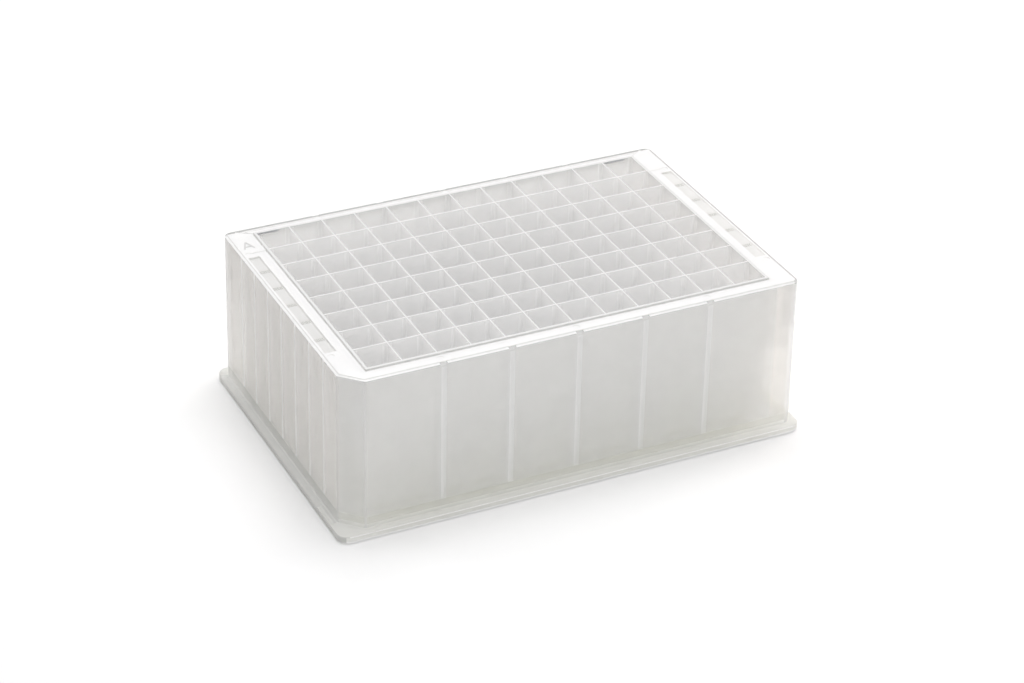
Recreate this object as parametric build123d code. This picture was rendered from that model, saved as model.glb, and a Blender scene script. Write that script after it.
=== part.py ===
from build123d import *
from math import atan, degrees, radians, sqrt, tan
import os

# A 96-well deep-well plate: one injection moulding in natural polypropylene.
# X runs along the long side, Y along the short side, Z is up, and the origin is the
# centre of the footprint at table level. Well A1 is at -X +Y, and the skirt corner
# beside well H1, at -X -Y, is cut off so that the plate goes into a holder one way only.

# ---------------------------------------------------------------- driving dimensions, mm

plate_length = 127.76           # base flange along X
plate_width = 85.48             # base flange along Y
plate_height = 44.0             # table to the rims of the wells

columns = 12                    # wells along X
rows = 8                        # wells along Y
pitch = 9.0                     # centre to centre of the wells, both ways
web = 0.65                      # wall between two wells, at the rim
rim_wall = 0.9                  # outermost wall of the block of wells, at the rim
well_draft = 0.35               # degrees, so that each well narrows downwards
well_corner = 0.6               # radius of a well's upright corners
well_floor_height = 2.2         # table to the flat tip inside a well
well_taper_height = 4.0         # height of the pointed bottom inside a well
well_tip = 1.6                  # side of the flat tip inside a well
bottom_wall = 1.0               # wall of the pointed bottom
bottom_gap = 0.16               # least gap between two pointed bottoms, at their tops
block_foot = 5.1                # table to the underside of the webs

ledge = 2.1                     # width of the flange outside the foot of the skirt
flange_height = 2.0
flange_corner = 3.2             # plan radius of the flange's corners
flange_foot_chamfer = 0.4
flange_edge_fillet = 0.25
skirt_wall = 1.1
skirt_draft = 0.5               # degrees, so that the skirt narrows upwards
skirt_corner = 2.0              # plan radius of the skirt's square corners, at its foot
index_cut = 5.2                 # leg of the cut-off corner beside well H1
index_round = 0.8               # plan radius where the cut meets the two sides
smallest_round = 0.2            # corners inside a margin stay sharp below this radius
foot_fillet = 0.4               # where the skirt meets the flange

rim_height = 0.5                # rims of the wells above the deck
deck_thickness = 1.2
edge_step = 0.25                # the deck's border lies this far below the deck
edge_width = 0.6                # width of that border
edge_fillet = 0.2
stack_clearance = 0.5           # around the deck of the plate below, when stacked
stack_depth = 1.0               # how far the flange comes down over that deck

rib = 1.4                       # thickness of the ribs between skirt and block
rib_columns = (2, 4, 6, 8, 10)  # front and back ribs stand at these webs, from the left
long_rib_columns = (2, 10)      # of those, the two that reach down to the foot
long_rib_rows = (1, 7)          # of the side ribs, one at each web, the two that do
long_rib_foot = 1.4             # table to the bottom of the long ribs
notch_width = 2.0               # gap in the deck's border above each front and back rib
notch_depth = 0.9

gusset = 1.2                    # thickness of the plate that ties each block corner
gusset_angle = 33.0             # degrees from the long side
gusset_depth = 19.5             # rim level to the gusset's lower edge
post = 1.7                      # side of the post that fills each square skirt corner
post_depth = 13.7               # rim level to the lower end of the post
index_pad = 1.0                 # extra wall behind the cut-off corner, as deep as a post

window_width = 3.0              # shallow sunk strip in the deck, left and right
window_length = 50.4
window_depth = 0.5
window_margin = 1.2             # from the deck's outer edge

pin_mark = 1.8                  # diameter of the ejector pin marks on the deck
pin_mark_depth = 0.12
sink_width = 0.9                # sink marks above the gussets and two side ribs
sink_depth = 0.15
sink_reach = 0.6                # of the way from the block's corner to the skirt's
foot_groove = 0.5               # groove beside the skirt on the left and right ledges
foot_groove_depth = 0.3
foot_groove_bridge = 1.2        # unbroken ledge between two stretches of that groove
insert_line = 0.3               # line that the mould's insert leaves on the front flange
insert_line_depth = 0.12
insert_line_place = 52.0        # from the middle of the flange towards column 1
letter_height = 3.5             # raised row letter beside well A1
letter_width = 2.7
letter_stroke = 0.4
letter_relief = 0.12
letter_bar = 0.3                # height of the crossbar, as a share of the letter's
same_place = 0.01               # points closer than this count as one

# ---------------------------------------------------------------- values that follow

deck_height = plate_height - rim_height
border_height = deck_height - edge_step
deck_underside = deck_height - deck_thickness
block_length = columns * pitch - web + 2 * rim_wall
block_width = rows * pitch - web + 2 * rim_wall
well_side = pitch - web
straight_depth = plate_height - well_floor_height - well_taper_height
well_foot_side = well_side - 2 * straight_depth * tan(radians(well_draft))
point_angle = degrees(atan((well_foot_side - well_tip) / 2 / well_taper_height))
well_centres = [
    ((i - (columns - 1) / 2) * pitch, (j - (rows - 1) / 2) * pitch)
    for i in range(columns)
    for j in range(rows)
]
four_corners = [(-1, -1), (1, -1), (1, 1), (-1, 1)]


def column_web(i):
    """X of the web to the right of column i."""
    return (i - columns / 2) * pitch


def row_web(j):
    """Y of the web above row j, counted from the front."""
    return (j - rows / 2) * pitch


def skirt_inset(height):
    """How far the skirt's outside has drawn in at a height, from its foot."""
    return height * tan(radians(skirt_draft))


def skirt_half(height, inset=0.0):
    """Half length and half width of the skirt's outline at a height."""
    margin = ledge + skirt_inset(height) + inset
    return plate_length / 2 - margin, plate_width / 2 - margin


def skirt_outline(height, inset=0.0):
    """The skirt's outline at a height, drawn in by an even margin."""
    x, y = skirt_half(height, inset)
    drawn_in = skirt_inset(height) + inset
    cut = index_cut - drawn_in * (2 - sqrt(2))
    points = [(-x + cut, -y), (x, -y), (x, y), (-x, y), (-x, -y + cut)]
    outline = make_face(Polyline(*points, close=True))
    outline = round_corners(outline, points[1:4], skirt_corner - drawn_in)
    outline = round_corners(outline, [points[0], points[4]], index_round - drawn_in)
    return Pos(0, 0, height) * outline


def round_corners(outline, corners, radius):
    """Round some corners of an outline, unless the radius has shrunk to nothing."""
    if radius < smallest_round:
        return outline
    near = [
        v
        for v in outline.vertices()
        if min(abs(v.X - x) + abs(v.Y - y) for x, y in corners) < same_place
    ]
    return fillet(near, radius)


def skirt_core(low, high, inset=0.0):
    """The drafted solid inside the skirt's outline between two heights."""
    return extrude(skirt_outline(low, inset), high - low, taper=skirt_draft)


def upright(side_x, side_y, low, high):
    """A block between two heights, centred on the Z axis."""
    return Pos(0, 0, (low + high) / 2) * Box(side_x, side_y, high - low)


# ---------------------------------------------------------------- skirt, deck and flange


def make_shell():
    """The skirt with its deck, and the flange around its foot, hollow from below."""
    skirt = skirt_core(0, border_height)
    flange = extrude(RectangleRounded(plate_length, plate_width, flange_corner), flange_height)
    foot_edges = flange.edges().group_by(Axis.Z)[0]
    flange = chamfer(foot_edges, flange_foot_chamfer)
    flange = fillet(flange.edges().group_by(Axis.Z)[-1], flange_edge_fillet)
    shell = skirt + flange

    x, y = skirt_half(flange_height, -same_place)
    seam = shell.edges().filter_by_position(
        Axis.Z, flange_height - same_place, flange_height + same_place
    )
    seam = seam.filter_by(lambda e: abs(e.center().X) < x and abs(e.center().Y) < y)
    shell = fillet(seam, foot_fillet)
    shell = fillet(shell.edges().group_by(Axis.Z)[-1], edge_fillet)

    deck = extrude(skirt_outline(border_height, edge_width), edge_step)
    cavity = skirt_core(0, deck_underside, skirt_wall)
    x, y = skirt_half(deck_height)
    nest = extrude(
        RectangleRounded(2 * (x + stack_clearance), 2 * (y + stack_clearance), skirt_corner),
        stack_depth,
    )
    return shell + deck - cavity - nest


# ---------------------------------------------------------------- ribs, gussets and posts


def make_ribs():
    """The upright ribs between the skirt and the block of wells, on all four sides."""
    ribs = []
    top = deck_height - deck_thickness / 2
    for side in (-1, 1):
        for i in rib_columns:
            foot = long_rib_foot if i in long_rib_columns else block_foot
            reach = plate_width / 2 - block_width / 2 + rim_wall / 2
            middle = side * (plate_width / 2 - reach / 2)
            ribs.append(Pos(column_web(i), middle, 0) * upright(rib, reach, foot, top))
        for j in range(1, rows):
            foot = long_rib_foot if j in long_rib_rows else block_foot
            reach = plate_length / 2 - block_length / 2 + rim_wall / 2
            middle = side * (plate_length / 2 - reach / 2)
            ribs.append(Pos(middle, row_web(j), 0) * upright(reach, rib, foot, top))
    return ribs


def make_corners():
    """The gussets, the posts in the square corners and the pad behind the cut one."""
    top = deck_height - deck_thickness / 2
    low = plate_height - post_depth
    ties = []
    for sx, sy in four_corners:
        blade = Pos(plate_width / 2, 0, 0) * upright(plate_width, gusset, plate_height - gusset_depth, top)
        turn = gusset_angle if sx * sy > 0 else -gusset_angle
        root = Pos(sx * (block_length - rim_wall) / 2, sy * (block_width - rim_wall) / 2, 0)
        ties.append(root * Rot(0, 0, turn if sx > 0 else 180 + turn) * blade)
    x, y = skirt_half(low, skirt_wall)
    for sx, sy in four_corners[1:]:
        ties.append(Pos(sx * x, sy * y, 0) * upright(2 * post, 2 * post, low, top))
    pad = Pos(-x, -y, 0) * upright(2 * index_cut, 2 * index_cut, low, top)
    ties.append(pad - skirt_core(low, top, skirt_wall + index_pad))
    return ties


# ---------------------------------------------------------------- block of wells


def narrowing_down(outline, top, depth, angle):
    """A drafted solid that hangs from a height and narrows downwards."""
    return Pos(0, 0, top) * Rot(180, 0, 0) * extrude(outline, depth, taper=angle)


def make_well():
    """The hollow of one well: drafted square shaft and pointed bottom."""
    mouth = Rectangle(well_side, well_side)
    shaft = narrowing_down(mouth, plate_height, plate_height - well_floor_height, well_draft)
    shaft = fillet(shaft.edges().filter_by(lambda e: e.length > 2 * well_side), well_corner)
    taper_top = well_floor_height + well_taper_height
    foot = Rectangle(well_foot_side, well_foot_side)
    point = narrowing_down(foot, taper_top, well_taper_height, point_angle)
    point += upright(pitch, pitch, taper_top, plate_height)
    return shaft & point


def make_well_bottom():
    """The outside of one pointed bottom, where it stands below the webs."""
    low = well_floor_height - bottom_wall
    slope = tan(radians(point_angle))
    tip_side = well_tip + 2 * bottom_wall * (sqrt(1 + slope * slope) - slope)
    rise = block_foot - low
    top_side = min(tip_side + 2 * slope * rise, pitch - bottom_gap)
    angle = degrees(atan((top_side - tip_side) / 2 / rise))
    return narrowing_down(Rectangle(top_side, top_side), block_foot, rise, angle)


# ---------------------------------------------------------------- marks on deck and flange


def make_sunk_marks():
    """Notches, sunk strips, pin marks, sink marks and grooves, to be cut away."""
    x, y = skirt_half(deck_height)
    marks = []
    for i in rib_columns:
        for side in (-1, 1):
            gap = Box(notch_width, 2 * edge_width, 2 * notch_depth)
            marks.append(Pos(column_web(i), side * y, border_height) * gap)
    for side in (-1, 1):
        strip = Box(window_width, window_length, 2 * window_depth)
        centre = side * (x - window_margin - window_width / 2)
        marks.append(Pos(centre, 0, deck_height) * strip)

    pin = Cylinder(pin_mark / 2, 2 * pin_mark_depth)
    strip_middle = (block_width / 2 + y - edge_width) / 2
    for i in (2, 6, 10):
        for side in (-1, 1):
            marks.append(Pos(column_web(i), side * strip_middle, deck_height) * pin)
    for side in (-1, 1):
        for j in (1, 7):
            spot = Pos(side * (x - window_margin - pin_mark / 2), row_web(j), deck_height)
            marks.append(spot * pin)

    sink_length = sink_reach * sqrt((x - block_length / 2) ** 2 + (y - block_width / 2) ** 2)
    trough = Pos(sink_length / 2, 0, 0) * Box(sink_length, sink_width, 2 * sink_depth)
    for side in (-1, 1):
        start = Pos(side * block_length / 2, block_width / 2, deck_height)
        turn = gusset_angle if side > 0 else 180 - gusset_angle
        marks.append(start * Rot(0, 0, turn) * trough)
        start = Pos(side * block_length / 2, row_web(rows - 1), deck_height)
        marks.append(start * Rot(0, 0, 0 if side > 0 else 180) * trough)

    x, y = skirt_half(flange_height)
    bridge = window_length / 2 + foot_groove_bridge / 2
    stretches = [(-bridge, bridge), (bridge, y - skirt_corner), (-y + index_cut, -bridge)]
    for low, high in stretches:
        length = high - low - foot_groove_bridge
        for side in (-1, 1):
            groove = Box(foot_groove, length, 2 * foot_groove_depth)
            place = side * (x + foot_fillet + foot_groove / 2)
            marks.append(Pos(place, (low + high) / 2, flange_height) * groove)
    line = Box(insert_line, 2 * insert_line_depth, flange_height)
    marks.append(Pos(-insert_line_place, -plate_width / 2, flange_height / 2) * line)
    return marks


def make_letter():
    """Raised row letter on the deck beside well A1."""
    leg = letter_width / 2
    bar = letter_height * letter_bar
    half_bar = leg * (1 - letter_bar)
    strokes = [
        Line((-leg, 0), (0, letter_height)),
        Line((leg, 0), (0, letter_height)),
        Line((-half_bar, bar), (half_bar, bar)),
    ]
    letter = extrude(trace(strokes, letter_stroke), letter_relief)
    x, y = skirt_half(deck_height, edge_width)
    row_middle = (rows - 1) / 2 * pitch
    return Pos(-(x + block_length / 2) / 2, row_middle - letter_height / 2, deck_height) * letter


# ---------------------------------------------------------------- the moulding


def make_plate():
    block = upright(block_length, block_width, block_foot, plate_height)
    inside = skirt_core(0, border_height, skirt_wall / 2)
    plate = make_shell() + block
    plate += [tie & inside for tie in make_ribs() + make_corners()]
    bottom = make_well_bottom()
    plate += [Pos(x, y, 0) * bottom for x, y in well_centres]
    plate -= make_sunk_marks()
    plate += make_letter()
    well = make_well()
    plate -= [Pos(x, y, 0) * well for x, y in well_centres]
    return plate


os.makedirs("parts", exist_ok=True)
export_step(make_plate(), "parts/well_plate.step")
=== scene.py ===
from math import cos, pi, radians, sin, sqrt, tan

import bpy
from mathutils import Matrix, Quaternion, Vector


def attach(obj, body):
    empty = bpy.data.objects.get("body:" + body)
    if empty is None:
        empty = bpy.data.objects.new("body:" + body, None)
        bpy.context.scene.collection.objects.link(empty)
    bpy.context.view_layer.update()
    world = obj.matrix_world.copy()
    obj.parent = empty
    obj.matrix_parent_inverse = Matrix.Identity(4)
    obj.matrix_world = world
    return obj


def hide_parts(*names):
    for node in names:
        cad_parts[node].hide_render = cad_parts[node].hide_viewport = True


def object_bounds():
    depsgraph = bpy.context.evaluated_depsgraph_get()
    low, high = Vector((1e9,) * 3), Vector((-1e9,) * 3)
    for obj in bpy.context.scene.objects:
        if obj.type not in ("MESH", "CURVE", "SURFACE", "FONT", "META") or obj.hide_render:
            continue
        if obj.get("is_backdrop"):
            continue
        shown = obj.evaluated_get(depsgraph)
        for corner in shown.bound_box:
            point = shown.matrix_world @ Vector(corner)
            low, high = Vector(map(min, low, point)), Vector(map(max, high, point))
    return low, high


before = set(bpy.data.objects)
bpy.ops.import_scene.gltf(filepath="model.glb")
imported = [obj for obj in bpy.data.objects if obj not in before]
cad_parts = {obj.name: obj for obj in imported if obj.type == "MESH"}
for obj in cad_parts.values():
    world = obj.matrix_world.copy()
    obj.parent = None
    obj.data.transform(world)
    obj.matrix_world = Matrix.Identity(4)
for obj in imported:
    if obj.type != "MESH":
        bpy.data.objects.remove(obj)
cad_low, cad_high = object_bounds()

# ---------------------------------------------------------------------------
# The plastic. A deep-well plate is shot in one go from natural polypropylene:
# no pigment, so thin walls are milky and let shapes behind them show through,
# while edges and thick parts look white, the edges partly by painted highlights.
# The mould leaves a satin surface. Light and shade are also painted into the
# colours of several zones below.

mm = 0.001


def colour(hex_value):
    """An sRGB hex colour as the linear colour that a shader takes."""
    linear = []
    for place in (0, 2, 4):
        part = int(hex_value[place:place + 2], 16) / 255
        linear.append(part / 12.92 if part <= 0.04045 else ((part + 0.055) / 1.055) ** 2.4)
    return (*linear, 1.0)


def node(tree, kind, settings=(), links=()):
    """Add one node, with its settings, its input values and the sockets that feed it."""
    made = tree.nodes.new(kind)
    for name, value in dict(settings).items():
        if isinstance(name, int) or name in made.inputs:
            made.inputs[name].default_value = value
        else:
            setattr(made, name, value)
    for name, source in dict(links).items():
        tree.links.new(source, made.inputs[name])
    return made


def polypropylene(zone, milk, clear, cloud=0.01, through=0.5):
    """Natural polypropylene: a satin skin that scatters light to both sides and lets some pass."""
    made = bpy.data.materials.new("natural polypropylene, " + zone)
    made.use_nodes = True
    tree = made.node_tree
    tree.nodes.clear()
    place = node(tree, "ShaderNodeTexCoord").outputs["Object"]
    # crystals grow unevenly as the melt cools, so the milkiness drifts over about a centimetre
    drift = node(tree, "ShaderNodeTexNoise", {"Scale": 1 / (11 * mm), "Detail": 2.0}, {"Vector": place})
    clearness = node(
        tree,
        "ShaderNodeMapRange",
        {"From Min": 0.35, "From Max": 0.65, "To Min": clear - cloud, "To Max": clear + cloud},
        {"Value": drift.outputs["Fac"]},
    )
    # spark-eroded steel prints a fine grain, drawn a little coarser than the real 0.1 mm
    grain = node(tree, "ShaderNodeTexNoise", {"Scale": 1 / (0.5 * mm), "Detail": 1.0}, {"Vector": place})
    bump = node(
        tree,
        "ShaderNodeBump",
        {"Strength": 0.06, "Distance": 0.05 * mm},
        {"Height": grain.outputs["Fac"]},
    )
    skin = node(
        tree,
        "ShaderNodeBsdfPrincipled",
        {"Base Color": colour(milk), "Roughness": 0.32, "IOR": 1.49, "Specular IOR Level": 0.9},
        {"Normal": bump.outputs["Normal"]},
    )
    glow = node(tree, "ShaderNodeBsdfTranslucent", {"Color": colour(milk)})
    body = node(
        tree,
        "ShaderNodeMixShader",
        {0: through},
        {1: skin.outputs["BSDF"], 2: glow.outputs["BSDF"]},
    )
    gap = node(tree, "ShaderNodeBsdfTransparent")
    whole = node(
        tree,
        "ShaderNodeMixShader",
        {},
        {0: clearness.outputs["Result"], 1: body.outputs["Shader"], 2: gap.outputs["BSDF"]},
    )
    node(tree, "ShaderNodeOutputMaterial", {}, {"Surface": whole.outputs["Shader"]})
    return made


# walls, from the clearest to the milkiest, several of them copies with light and
# shade painted in: the right end painted warmer and brighter, the foot under the
# block painted darker and olive as shade, lighter just above the flange and
# darker still on the left, corners painted greyer as shade and darkest at the
# back, the left wall its own copy with the light on that side painted in, and the
# wall painted lighter where a rib meets it, as light piped along the rib
end_wall_painted_light = polypropylene("right end", "FEFCF8", 0.69, 0.015)
foot_wall_painted_shade = polypropylene("foot of the wall", "F2F3EA", 0.7, 0.015)
corner = polypropylene("corner", "F0F0EE", 0.66)
thin_wall = polypropylene("thin wall", "F4F4F2", 0.62, 0.015)
left_foot_painted_shade = polypropylene("foot of the left wall", "DCDDD9", 0.6, 0.015)
wall_painted_light = polypropylene("over a rib", "FEFEFE", 0.58)
above_ledge_painted_light = polypropylene("just above the flange", "FEFEFA", 0.55, 0.015)
far_corner_painted_shade = polypropylene("corner at the back", "D8D8D6", 0.5)
# the left wall's own copy of the thin wall, with the light falling on that side painted in
side_wall = polypropylene("left wall", "F4F2EF", 0.48, 0.015)
rib_line_painted_light = polypropylene("over a rib at the side", "FEFEFE", 0.25)
# the flange, whose top is thinner than its sides are deep
ledge_top = polypropylene("flange", "F8F8F5", 0.5)
# the flange's top, except on the left, painted lighter as the light falling on it
ledge_painted_light = polypropylene("flange in front", "FCFCF8", 0.34, through=0.4)
ledge_side = polypropylene("side of the flange", "FAFAF6", 0.25)
# the left side of the flange, painted darker as the shade on that side
left_side_painted_shade = polypropylene("left side of the flange", "CECFCC", 0.25)
# the deck and its edges: the deck is near white, seen through several millimetres
# of plastic, and that white is also a painted highlight on rounded edges in front
# and on the left; the sides of steps and the rounded edges at the right and back
# are painted darker as shade
deck_and_painted_highlight = polypropylene("deck, and painted highlight on edges", "FEFEFE", 0.06, through=0.05)
thin_deck = polypropylene("thin deck", "FCFCFB", 0.15, through=0.3)
low_step_painted_shade = polypropylene("side of a low step", "F2F2F0", 0.1, through=0.3)
step_side_painted_shade = polypropylene("side of a step", "E0E0DE", 0.1, through=0.3)
outline = polypropylene("rounded edge", "C8C8C8", 0.1, through=0.3)
far_edge_painted_shade = polypropylene("rounded edge at the back", "C6C6C6", 0.1, through=0.3)

# ---------------------------------------------------------------------------
# The skirt with its deck and the flange that it stands on. They are one wall,
# 1.1 mm thick, drawn in by half a degree towards the top so that it leaves the
# mould, with one corner cut off to key the plate in a holder.

plate_length, plate_width, plate_height = (cad_high - cad_low)[:]
deck = plate_height - 0.5 * mm
border = deck - 0.25 * mm
ledge = 2.1 * mm
flange_height = 2.0 * mm
wall = 1.1 * mm
draft = tan(radians(0.5))
skirt_corner = 2.0 * mm
cut = 5.2 * mm
cut_round = 0.8 * mm
block_length = 109.15 * mm
block_width = 73.15 * mm


def begin(name, primitive, **settings):
    """Add a primitive as a new piece, with nothing else selected."""
    bpy.ops.object.select_all(action="DESELECT")
    primitive(**settings)
    piece = bpy.context.object
    piece.name = name
    piece.data.name = name
    return piece


def pick(piece, kind, test):
    """Open the piece in edit mode with only what passes the test selected."""
    bpy.ops.object.mode_set(mode="EDIT")
    bpy.ops.mesh.select_mode(type=kind)
    bpy.ops.mesh.select_all(action="DESELECT")
    bpy.ops.object.mode_set(mode="OBJECT")
    mesh = piece.data
    points = [v.co + piece.location for v in mesh.vertices]
    if kind == "VERT":
        for vertex in mesh.vertices:
            vertex.select = test(points[vertex.index])
    elif kind == "EDGE":
        for edge in mesh.edges:
            edge.select = test(*(points[v] for v in edge.vertices))
    else:
        for face in mesh.polygons:
            face.select = test(face.center + piece.location, face.normal)
    bpy.ops.object.mode_set(mode="EDIT")


def settle(piece):
    """Leave edit mode with normals outward, and put the piece's place in its mesh."""
    bpy.ops.object.mode_set(mode="EDIT")
    bpy.ops.mesh.select_all(action="SELECT")
    bpy.ops.mesh.normals_make_consistent(inside=False)
    bpy.ops.object.mode_set(mode="OBJECT")
    bpy.ops.object.transform_apply(location=True, rotation=True, scale=True)
    return piece


def combine(piece, other, operation):
    """Join another closed piece to this one, or cut it away. The other one is used up."""
    bpy.ops.object.select_all(action="DESELECT")
    bpy.context.view_layer.objects.active = piece
    step = piece.modifiers.new("combine", "BOOLEAN")
    step.object = other
    step.operation = operation
    step.solver = "EXACT"
    step.use_self = True
    bpy.ops.object.modifier_apply(modifier=step.name)
    bpy.data.objects.remove(other)


def finish(piece, materials, choose):
    """Give each face the material that the choice names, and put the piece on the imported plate."""
    piece.data.materials.clear()
    for material in materials:
        piece.data.materials.append(material)
    for face in piece.data.polygons:
        face.material_index = materials.index(choose(face.center, face.normal))
    bpy.ops.object.select_all(action="DESELECT")
    piece.select_set(True)
    bpy.context.view_layer.objects.active = piece
    bpy.ops.object.shade_smooth_by_angle(angle=radians(30))
    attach(piece, "root")
    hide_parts("well_plate")


def column(name, half_x, half_y, low, high, round_corner, cut_leg=0.0, slope=0.0):
    """A solid between two heights over a rounded outline, one corner of it cut off."""
    piece = begin(name, bpy.ops.mesh.primitive_plane_add, size=2, location=(0, 0, low))
    bpy.ops.object.mode_set(mode="EDIT")
    bpy.ops.transform.resize(value=(half_x, half_y, 1))
    if cut_leg:
        pick(piece, "VERT", lambda p: p.x > 0 or p.y > 0)
    bpy.ops.mesh.bevel(offset=round_corner, segments=6, affect="VERTICES")
    if cut_leg:
        pick(piece, "VERT", lambda p: p.x < -half_x * 0.999 and p.y < -half_y * 0.999)
        bpy.ops.mesh.bevel(offset=cut_leg, segments=1, affect="VERTICES")
        bpy.ops.mesh.bevel(offset=cut_round * tan(pi / 8), segments=3, affect="VERTICES")
    bpy.ops.mesh.select_all(action="SELECT")
    bpy.ops.mesh.extrude_region_move(TRANSFORM_OT_translate={"value": (0, 0, high - low)})
    drawn_in = slope * (high - low)
    scale = ((half_x - drawn_in) / half_x, (half_y - drawn_in) / half_y, 1)
    bpy.ops.transform.resize(value=scale, center_override=(0, 0, 0))
    return settle(piece)


foot_x = plate_length / 2 - ledge
foot_y = plate_width / 2 - ledge


def skirt_column(name, low, high, inset):
    """A drafted solid inside the skirt's outline, drawn in by an even margin."""
    drawn_in = inset + low * draft
    leg = cut - drawn_in * (2 - sqrt(2))
    turn = max(skirt_corner - drawn_in, 0.3 * mm)
    return column(name, foot_x - drawn_in, foot_y - drawn_in, low, high, turn, leg, draft)


shell = column("skirt", plate_length / 2, plate_width / 2, 0, flange_height, 3.2 * mm)
pick(shell, "EDGE", lambda a, b: max(a.z, b.z) < 0.1 * mm)
bpy.ops.mesh.bevel(offset=0.4 * mm, segments=1, affect="EDGES")
bpy.ops.object.mode_set(mode="OBJECT")
combine(shell, skirt_column("skirt wall", 0.3 * mm, border, 0), "UNION")
combine(shell, skirt_column("deck", border - 0.5 * mm, deck, 0.6 * mm), "UNION")
combine(shell, skirt_column("hollow", -1 * mm, deck - 1.2 * mm, wall), "DIFFERENCE")
nest_x = foot_x - deck * draft + 0.5 * mm
nest_y = foot_y - deck * draft + 0.5 * mm
combine(shell, column("nest", nest_x, nest_y, -1 * mm, 1 * mm, skirt_corner), "DIFFERENCE")
opening_x = block_length / 2 - 0.4 * mm
opening_y = block_width / 2 - 0.4 * mm
opening = begin("opening", bpy.ops.mesh.primitive_cube_add, size=2, location=(0, 0, deck))
opening.scale = (opening_x, opening_y, 3 * mm)
combine(shell, settle(opening), "DIFFERENCE")

# every edge of the mould is broken by a fraction of a millimetre
bpy.context.view_layer.objects.active = shell
soft = shell.modifiers.new("soft edges", "BEVEL")
soft.width = 0.18 * mm
soft.segments = 2
soft.limit_method = "ANGLE"
soft.angle_limit = radians(35)
bpy.ops.object.modifier_apply(modifier=soft.name)
pick(shell, "FACE", lambda at, out: True)
bpy.ops.mesh.remove_doubles(threshold=0.02 * mm)
bpy.ops.mesh.dissolve_degenerate(threshold=0.01 * mm)
bpy.ops.object.mode_set(mode="OBJECT")

# ---------------------------------------------------------------------------
# Marks that the mould leaves in the deck and the flange: a gap in the deck's
# border over each front and back rib, a sunk strip left and right with deeper
# bars in it, the rounds of ejector pins, shallow sinks where thick webs pull
# the deck in, and a fine line along its back.

pitch = 9.0 * mm
deck_x = foot_x - deck * draft
deck_y = foot_y - deck * draft
marks = []


def spread(model, places):
    """A copy of the model, with its own mesh, at each place. The model is used up."""
    copies = []
    for x, y in places:
        bpy.ops.object.select_all(action="DESELECT")
        model.select_set(True)
        bpy.context.view_layer.objects.active = model
        bpy.ops.object.duplicate(linked=False)
        copy = bpy.context.object
        copy.location = (x, y, 0)
        bpy.ops.object.transform_apply(location=True, rotation=False, scale=False)
        copies.append(copy)
    bpy.data.objects.remove(model)
    return copies


def sunk(size_x, size_y, depth, places, z, turn=0.0):
    """Box-shaped cutters that go down by their depth from a height, one at each place."""
    cutter = begin(
        "mark",
        bpy.ops.mesh.primitive_cube_add,
        size=1,
        location=(0, 0, z),
        rotation=(0, 0, turn),
    )
    cutter.scale = (size_x, size_y, 2 * depth)
    marks.extend(spread(settle(cutter), places))


both = (-1, 1)
ends = [(at * pitch, side * deck_y) for at in (-4, -2, 0, 2, 4) for side in both]
sunk(2.0 * mm, 1.2 * mm, 0.9 * mm, ends, border)

strip_x = deck_x - 2.7 * mm
strip_length, strip_depth, bar_depth = 50.4 * mm, 0.5 * mm, 0.6 * mm
bars = [(side * strip_x, row * pitch) for row in (-2, -1, 0, 1, 2) for side in both]
sunk(3.0 * mm, strip_length, strip_depth, [(side * strip_x, 0) for side in both], deck)
sunk(2.6 * mm, 1.8 * mm, bar_depth, bars, deck)

sink_length, sink_width, sink_depth = 4.6 * mm, 0.9 * mm, 0.15 * mm
sinks = [(side * (block_length / 2 + 2.3 * mm), 3 * pitch) for side in both]
sunk(sink_length, sink_width, sink_depth, sinks, deck)
for side in both:
    place = (side * (block_length / 2 + 2.0 * mm), block_width / 2 + 1.3 * mm)
    sunk(sink_length, sink_width, sink_depth, [place], deck, side * radians(33))
line_y = (block_width / 2 + deck_y) / 2 - 0.1 * mm
sunk(block_length + 3.0 * mm, 0.25 * mm, 0.12 * mm, [(0, line_y)], deck)

pin = begin(
    "pin",
    bpy.ops.mesh.primitive_cylinder_add,
    vertices=32,
    radius=0.9 * mm,
    depth=0.24 * mm,
    location=(0, 0, deck),
)
pin_y = (block_width / 2 + deck_y - 0.6 * mm) / 2
pin_places = [(at * pitch, side * pin_y) for at in (-4, 0, 4) for side in both]
pin_places += [(side * (deck_x - 2.1 * mm), row * pitch) for row in (-3, 3) for side in both]
marks.extend(spread(settle(pin), pin_places))

groove_x = foot_x - flange_height * draft + 0.65 * mm
for length, y in ((strip_length, 0), (11.5 * mm, 32.2 * mm), (9.0 * mm, -30.9 * mm)):
    sunk(0.5 * mm, length, 0.3 * mm, [(side * groove_x, y) for side in both], flange_height)
sunk(0.3 * mm, 0.24 * mm, 0.6 * mm, [(-52.0 * mm, -plate_width / 2)], flange_height / 2)

bpy.ops.object.select_all(action="DESELECT")
for mark in marks:
    mark.select_set(True)
bpy.context.view_layer.objects.active = marks[0]
bpy.ops.object.join()
combine(shell, marks[0], "DIFFERENCE")

# the wall is divided into its zones: beside the ribs behind it, at the end and at the
# foot of the block, above the flange and near its lower edge, and along the deck's back
rib = 1.4 * mm
line = 0.45 * mm
block_foot = 5.1 * mm
ledge_line = 3.2 * mm
lower_edge = 0.75 * mm
block_end = block_length / 2 + 0.5 * mm
far_line = deck_y - 1.4 * mm
along_x, along_y, upward = (1, 0, 0), (0, 1, 0), (0, 0, 1)
cuts = [((at * pitch + side * rib / 2, 0, 0), along_x) for at in (-4, -2, 0, 2, 4) for side in both]
cuts += [((0, row * pitch + side * line, 0), along_y) for row in range(-3, 4) for side in both]
cuts.append(((block_end, 0, 0), along_x))
cuts += [((0, 0, height), upward) for height in (block_foot, lower_edge, ledge_line)]
cuts.append(((0, far_line, 0), along_y))
bpy.ops.object.mode_set(mode="EDIT")
for point, normal in cuts:
    bpy.ops.mesh.select_all(action="SELECT")
    bpy.ops.mesh.bisect(plane_co=point, plane_no=normal)
bpy.ops.object.mode_set(mode="OBJECT")


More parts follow.
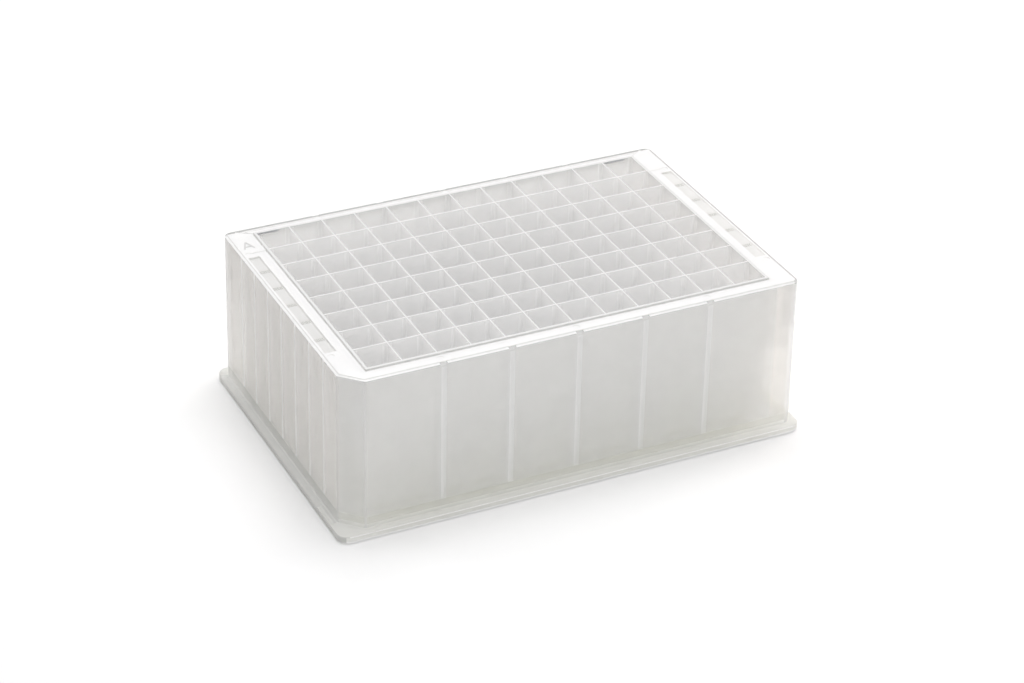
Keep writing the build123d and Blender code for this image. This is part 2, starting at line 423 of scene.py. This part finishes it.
def shell_face(at, out):
    """The material of one face of the skirt, its deck or the flange, from the bottom up."""
    behind = max(at.x / foot_x, at.y / foot_y) > 0.97
    # the rounded edges: painted shade at the back and at the right, a painted highlight in front and on the
    # left
    edge = far_edge_painted_shade if at.y / foot_y > 0.97 else outline if behind else deck_and_painted_highlight
    at_edge = abs(at.x) > plate_length / 2 - 0.3 * mm or abs(at.y) > plate_width / 2 - 0.3 * mm
    on_left = at.x < -foot_x + 2 * mm
    # the flange's top: painted lighter except on the left, with a painted highlight on its rounded outer
    # edge
    if at.z < flange_height + 0.25 * mm and out.z > 0.15:
        if at.x < -foot_x:
            return ledge_top
        return deck_and_painted_highlight if at_edge and out.z < 0.95 else ledge_painted_light
    # around the flange: the inner faces painted lighter, the left side painted darker as shade, and a
    # painted highlight along the lower edge
    if at.z < flange_height + 0.05 * mm:
        if max(abs(at.x) / foot_x, abs(at.y) / foot_y) < 1.02:
            return wall_painted_light
        if at.x < -foot_x and out.x < -0.5:
            return left_side_painted_shade
        return deck_and_painted_highlight if at.z < lower_edge else ledge_side
    # the sides of the deck's border step: painted darker as shade, darkest at the back and at the right
    if at.z > border + 0.02 * mm and out.z < 0.95:
        return edge if behind else low_step_painted_shade
    if at.z > border - 0.3 * mm and 0.15 < out.z < 0.95:
        return edge
    # a strip along the back of the deck, painted darker as shade
    if at.z > deck - 0.02 * mm and out.z > 0.95 and at.y > far_line:
        return far_edge_painted_shade
    # the sunk strips: the bars in them painted darker as shade
    strip_floor = deck - (strip_depth + bar_depth) / 2
    if abs(at.x) > 56 * mm and abs(at.z - strip_floor) < 0.1 * mm and out.z > 0.9:
        return thin_deck if at.z > strip_floor else low_step_painted_shade
    if behind and abs(at.z - border) < 0.02 * mm and out.z > 0.95:
        return edge
    in_strip = abs(at.x) < deck_x - 0.9 * mm and abs(at.y) < 30 * mm
    if in_strip and at.z > deck - 0.7 * mm and abs(out.z) < 0.2:
        return thin_deck
    if at.z > border - 0.7 * mm and out.z > 0.5:
        return deck_and_painted_highlight
    # the rounded corners of the wall: painted greyer as shade on the outside, darkest at the back left, and
    # painted lighter on the inside
    if min(abs(out.x), abs(out.y)) > 0.1 and abs(abs(out.x) - abs(out.y)) > 0.05 and abs(out.z) < 0.2:
        if at.x < 0 < at.y:
            return far_corner_painted_shade
        return corner if out.x * at.x > 0 else wall_painted_light
    # the foot of the wall under the block: painted darker and olive as the shade under the block, darker
    # still on the left, and painted lighter just above the flange
    if at.z < block_foot:
        return left_foot_painted_shade if on_left else foot_wall_painted_shade if at.z > ledge_line else above_ledge_painted_light
    # over a rib behind the front and back walls, the wall is painted lighter as light piped along the rib
    if abs(out.y) > 0.9 and abs(at.x / pitch / 2 - round(at.x / pitch / 2)) * pitch * 2 < rib / 2:
        return wall_painted_light if abs(at.x) < 5 * pitch else thin_wall
    # over a rib behind the side walls, a line painted lighter as light piped along the rib
    if abs(out.x) > 0.9 and abs(at.y / pitch - round(at.y / pitch)) * pitch < line:
        return rib_line_painted_light if abs(at.y) < 3.5 * pitch else thin_wall
    # the left wall is its own copy with the light on that side painted in, and the wall past the block's
    # right end is painted warmer and brighter as the light that comes through it
    return side_wall if on_left else end_wall_painted_light if at.x > block_end else thin_wall


walls = [end_wall_painted_light, foot_wall_painted_shade, thin_wall, left_foot_painted_shade, wall_painted_light, above_ledge_painted_light, side_wall, rib_line_painted_light]
flange = [ledge_top, ledge_painted_light, ledge_side, left_side_painted_shade]
edges = [corner, far_corner_painted_shade, deck_and_painted_highlight, thin_deck, low_step_painted_shade, outline, far_edge_painted_shade]
finish(shell, walls + flange + edges, shell_face)

# ---------------------------------------------------------------------------
# The block of 96 wells: twelve by eight, nine millimetres apart, with webs
# 0.65 mm thick at the rim. Each well narrows a little on its way down to a
# pointed bottom, which also shows outside, under the webs.

columns, rows = 12, 8
web = 0.65 * mm
well_floor = 2.2 * mm
point_top = 6.2 * mm
well_close = 8.5 * mm
shaft_depth = plate_height - point_top
shaft_inset = shaft_depth * tan(radians(0.35))
tip = 1.6 * mm
point_inset = (pitch - web - tip) / 2 - shaft_inset

block = begin(
    "well_block",
    bpy.ops.mesh.primitive_grid_add,
    x_subdivisions=columns,
    y_subdivisions=rows,
    size=1,
    location=(0, 0, plate_height),
)
bpy.ops.object.mode_set(mode="EDIT")
bpy.ops.transform.resize(value=(columns * pitch, rows * pitch, 1))
half_x, half_y = columns * pitch / 2, rows * pitch / 2
pick(
    block,
    "EDGE",
    lambda a, b: abs(a.x + b.x) / 2 > half_x - 0.1 * mm or abs(a.y + b.y) / 2 > half_y - 0.1 * mm,
)
bpy.ops.mesh.extrude_edges_move()
around = (block_length / 2 / half_x, block_width / 2 / half_y, 1)
bpy.ops.transform.resize(value=around, center_override=(0, 0, 0))
bpy.ops.mesh.select_all(action="SELECT")
bpy.ops.mesh.extrude_region_move(TRANSFORM_OT_translate={"value": (0, 0, deck - plate_height)})
bpy.ops.mesh.extrude_region_move(TRANSFORM_OT_translate={"value": (0, 0, block_foot - deck)})
bpy.ops.mesh.select_all(action="SELECT")
bpy.ops.mesh.normals_make_consistent(inside=False)


def cells(height, upward):
    """A test for the faces of the grid at one height."""
    return lambda p, n: (
        abs(p.z - height) < 0.1 * mm
        and n.z * upward > 0.9
        and abs(p.x) < half_x
        and abs(p.y) < half_y
    )


pick(block, "FACE", cells(plate_height, 1))
bpy.ops.mesh.inset(thickness=web / 2, use_individual=True)
bpy.ops.mesh.inset(thickness=shaft_inset, depth=-shaft_depth, use_individual=True)
bpy.ops.mesh.inset(thickness=point_inset, depth=-(point_top - well_floor), use_individual=True)
pick(block, "FACE", cells(block_foot, -1))
bpy.ops.mesh.inset(thickness=0.08 * mm, use_individual=True)
bpy.ops.mesh.inset(thickness=3.0 * mm, depth=block_foot - 1.2 * mm, use_individual=True)
pick(
    block,
    "EDGE",
    lambda a, b: abs(a.z - b.z) > shaft_depth * 0.9 and abs(a.x) < half_x and abs(a.y) < half_y,
)
bpy.ops.mesh.bevel(offset=0.9 * mm, segments=2, profile=1.0, affect="EDGES")
pick(block, "FACE", lambda p, n: p.z > plate_height - 0.05 * mm and n.z > 0.9)
bpy.ops.mesh.region_to_loop()
bpy.ops.mesh.bevel(offset=0.14 * mm, segments=2, affect="EDGES")
settle(block)

# a slit under the back rim of the two corner wells, A1 and A12
for x in (-50.9 * mm, 48.6 * mm):
    slit = begin(
        "slit",
        bpy.ops.mesh.primitive_cube_add,
        size=1,
        location=(x, rows * pitch / 2 - web / 2 + 0.2 * mm, plate_height - 0.33 * mm),
    )
    slit.scale = (5.8 * mm, 0.6 * mm, 0.28 * mm)
    combine(block, settle(slit), "DIFFERENCE")

# the outside is divided where the wells begin to close, because it is milkier below
bpy.ops.object.mode_set(mode="EDIT")
bpy.ops.mesh.select_all(action="SELECT")
bpy.ops.mesh.bisect(plane_co=(0, 0, well_close), plane_no=(0, 0, 1))
bpy.ops.object.mode_set(mode="OBJECT")

well_wall = polypropylene("well wall", "FEFEFE", 0.55, 0.02)
crossing = polypropylene("where webs cross", "FEFEFE", 0.42)
well_foot = polypropylene("where wells close", "FEFEFE", 0.3)
# painted darker and olive, as the shade under the block
point = polypropylene("pointed bottom", "F2F2EA", 0.5)
rim = polypropylene("rim of the wells", "EEEEEE", 0.02, through=0.05)
shaded = polypropylene("inside a slit", "D8D8DC", 0.1, through=0.2)


def block_face(at, out):
    """The material of one face of the block: whiter rims, whiter corners where webs cross (thicker plastic,
    and partly painted light), and painted shade on its step above the deck, in the slit and on the pointed
    bottoms.
    """
    if at.z > plate_height - 0.05 * mm and out.z > 0.97:
        return rim
    # the block's step above the deck is painted as a grey line of shade
    if at.z > deck and (abs(at.x) > half_x or abs(at.y) > half_y):
        return step_side_painted_shade
    if at.z > plate_height - 0.6 * mm and at.z < plate_height - 0.1 * mm and at.y > half_y - 0.32 * mm:
        return shaded
    # the pointed bottoms are painted darker and olive as the shade under the block
    if at.z < block_foot + 0.01 * mm:
        return point
    if at.z < well_close and (abs(at.x) > half_x or abs(at.y) > half_y):
        return well_foot
    # where webs cross, the wells are whiter: thicker plastic, and partly painted light
    across, along = (abs((p / pitch) % 1 - 0.5) * pitch for p in (at.x, at.y))
    inside = abs(at.x) < half_x and abs(at.y) < half_y and abs(out.z) < 0.1
    return crossing if inside and min(across, along) > 3.2 * mm else well_wall


finish(block, [well_wall, crossing, well_foot, point, rim, step_side_painted_shade, shaded], block_face)

# ---------------------------------------------------------------------------
# Ribs, gussets and posts. They tie the block of wells to the skirt, stop the
# long walls from bowing, and show through the skirt as pale upright bars.

under_deck = deck - 0.6 * mm
ribs = []


def bar(name, size_x, size_y, low, places, turn=0.0):
    """Upright bars with softened edges, one below the deck at each place."""
    piece = begin(
        name,
        bpy.ops.mesh.primitive_cube_add,
        size=1,
        location=(0, 0, (low + under_deck) / 2),
        rotation=(0, 0, turn),
    )
    piece.scale = (size_x, size_y, under_deck - low)
    bpy.ops.object.transform_apply(location=False, rotation=True, scale=True)
    bpy.ops.object.mode_set(mode="EDIT")
    bpy.ops.mesh.bevel(offset=0.15 * mm, segments=2, affect="EDGES")
    ribs.extend(spread(settle(piece), places))


inner_y, outer_y = block_width / 2 - 0.45 * mm, 39.6 * mm
inner_x, outer_x = block_length / 2 - 0.45 * mm, 60.7 * mm
rib_x, rib_y = (inner_x + outer_x) / 2, (inner_y + outer_y) / 2
for low, across, along in ((1.4 * mm, (-4, 4), (-3, 3)), (block_foot, (-2, 0, 2), (-2, -1, 0, 1, 2))):
    bar("rib", rib, outer_y - inner_y, low, [(at * pitch, side * rib_y) for at in across for side in both])
    bar("rib", outer_x - inner_x, rib, low, [(side * rib_x, row * pitch) for row in along for side in both])

# a gusset in each corner, a shorter one where the corner is cut off
gusset_low = plate_height - 19.5 * mm
slant = radians(33)
for reach, corners in ((6.6 * mm, ((1, 1),)), (6.6 * mm, ((1, -1), (-1, 1))), (4.1 * mm, ((-1, -1),))):
    x, y = inner_x + reach / 2 * cos(slant), inner_y + reach / 2 * sin(slant)
    turn = slant * corners[0][0] * corners[0][1]
    bar("gusset", reach, 1.2 * mm, gusset_low, [(sx * x, sy * y) for sx, sy in corners], turn)

post_low = plate_height - 13.7 * mm
posts = [(sx * 59.6 * mm, sy * 38.5 * mm) for sx, sy in ((1, -1), (1, 1), (-1, 1))]
bar("post", 2.2 * mm, 2.2 * mm, post_low, posts)
bar("pad", 6.2 * mm, 1.4 * mm, post_low, [(-57.9 * mm, -36.8 * mm)], radians(-45))

bpy.ops.object.select_all(action="DESELECT")
for piece in ribs:
    piece.select_set(True)
bpy.context.view_layer.objects.active = ribs[0]
bpy.ops.object.join()
ties = ribs[0]
ties.name = "ribs"
rib_side = polypropylene("rib", "FAFAFA", 0.6)
# the ends where ribs meet the skirt are painted whiter, as light piped along the ribs
rib_end_painted_light = polypropylene("rib end", "FEFEFE", 0.45)


def rib_face(at, out):
    """The material of one face of the ribs: painted whiter where one meets the skirt, as light piped along
    the rib.
    """
    ends = abs(at.x) > outer_x - 0.4 * mm or abs(at.y) > outer_y - 0.4 * mm
    return rib_end_painted_light if ends else rib_side


finish(ties, [rib_side, rib_end_painted_light], rib_face)

# ---------------------------------------------------------------------------
# The row letter beside well A1, raised from the deck by about a tenth of a
# millimetre: cut into the steel and filled by the same shot of plastic.

letter_x, letter_y = -58.0 * mm, 31.5 * mm
tall, wide, stroke, relief = 3.5 * mm, 2.7 * mm, 0.4 * mm, 0.12 * mm
lean = pi / 2 - radians(21)
strokes = []
for size, x, y, turn in (
    (3.6 * mm, -wide / 4, 0, lean),
    (3.6 * mm, wide / 4, 0, -lean),
    (1.7 * mm, 0, -0.2 * tall, 0.0),
):
    stripe = begin(
        "row_letter",
        bpy.ops.mesh.primitive_cube_add,
        size=1,
        location=(letter_x + x, letter_y + y, deck + relief / 2 - 0.05 * mm),
        rotation=(0, 0, turn),
    )
    stripe.scale = (size, stroke, relief + 0.1 * mm)
    strokes.append(settle(stripe))
combine(strokes[0], strokes[1], "UNION")
combine(strokes[0], strokes[2], "UNION")
letter = strokes[0]
# the letter is painted greyer than the deck, as shade on its small strokes
raised = polypropylene("raised letter", "E8E8E8", 0.05, through=0.3)
finish(letter, [raised], lambda at, out: raised)

# ---------------------------------------------------------------------------
# The studio: a white floor, one large soft lamp above the plate, low lamps in
# front and at both sides, even light all round, and the camera.

bpy.ops.mesh.primitive_plane_add(size=8, location=(0, 0, -0.05 * mm))
floor = bpy.context.object
floor.name = "floor"
floor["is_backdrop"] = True
paper = bpy.data.materials.new("white background paper")
paper.use_nodes = True
tree = paper.node_tree
tree.nodes.clear()
rays = node(tree, "ShaderNodeLightPath").outputs
math = "ShaderNodeMath"
larger = {"operation": "MAXIMUM"}
plain = node(tree, math, larger, {0: rays["Is Camera Ray"], 1: rays["Is Glossy Ray"]})
seen = node(tree, math, larger, {0: plain.outputs["Value"], 1: rays["Is Transmission Ray"]})
bare = node(tree, math, {"operation": "LESS_THAN", 1: 0.5}, {0: rays["Transparent Depth"]})
level = node(tree, math, {"operation": "MULTIPLY_ADD", 1: 0.03, 2: 0.08}, {0: bare.outputs["Value"]})
lift = node(tree, math, {"operation": "MULTIPLY"}, {0: seen.outputs["Value"], 1: level.outputs["Value"]})
matt = {"Base Color": colour("EFEFEF"), "Roughness": 0.9, "Specular IOR Level": 0.1}
sheet = node(
    tree,
    "ShaderNodeBsdfPrincipled",
    {**matt, "Emission Color": (1, 1, 1, 1)},
    {"Emission Strength": lift.outputs["Value"]},
)
node(tree, "ShaderNodeOutputMaterial", {}, {"Surface": sheet.outputs["BSDF"]})
floor.data.materials.append(paper)

scene = bpy.context.scene
world = bpy.data.worlds.new("studio")
scene.world = world
world.use_nodes = True
background = world.node_tree.nodes["Background"]
background.inputs["Color"].default_value = (1, 1, 1, 1)
background.inputs["Strength"].default_value = 0.36


def softbox(name, place, aim, size_x, size_y, power, tone):
    """A rectangular lamp pointed at a place."""
    lamp = bpy.data.lights.new(name, "AREA")
    lamp.shape = "RECTANGLE"
    lamp.size, lamp.size_y = size_x, size_y
    lamp.energy = power
    lamp.color = colour(tone)[:3]
    holder = bpy.data.objects.new(name, lamp)
    scene.collection.objects.link(holder)
    holder.location = place
    holder.rotation_euler = (Vector(aim) - Vector(place)).to_track_quat("-Z", "Y").to_euler()


softbox("key", (0.2, 0.17, 1.6), (0, 0, 0.02), 1.2, 1.1, 18.4, "FFFFFF")
softbox("fill", (-0.3, -1.1, 0.3), (0, 0, 0.01), 0.8, 0.5, 2.4, "FFFFFF")
softbox("left fill", (-0.85, 0.95, 0.4), (0, 0, 0.01), 0.6, 0.4, 3.2, "FFFFFF")
softbox("right fill", (1.05, 0.5, 0.32), (0, 0, 0.01), 0.6, 0.4, 4.0, "FFF3EA")

target = Vector((-3.5 * mm, -10.3 * mm, 25.1 * mm))
azimuth, elevation, roll = radians(26.34), radians(30.79), radians(1.354)
distance = 695 * mm
forward = Vector((cos(elevation) * sin(azimuth), cos(elevation) * cos(azimuth), -sin(elevation)))
lens = bpy.data.cameras.new("camera")
lens.lens = 97.0
lens.sensor_width = 36.0
lens.clip_start = 0.01
camera = bpy.data.objects.new("camera", lens)
scene.collection.objects.link(camera)
camera.location = target - forward * distance
camera.rotation_mode = "QUATERNION"
camera.rotation_quaternion = forward.to_track_quat("-Z", "Y") @ Quaternion((0, 0, 1), roll)
scene.camera = camera
scene.view_settings.view_transform = "Standard"
scene.cycles.denoising_input_passes = "RGB_ALBEDO"
scene.cycles.max_bounces = 14
scene.cycles.diffuse_bounces = 8
scene.cycles.transmission_bounces = 10
scene.cycles.transparent_max_bounces = 32

low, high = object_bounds()
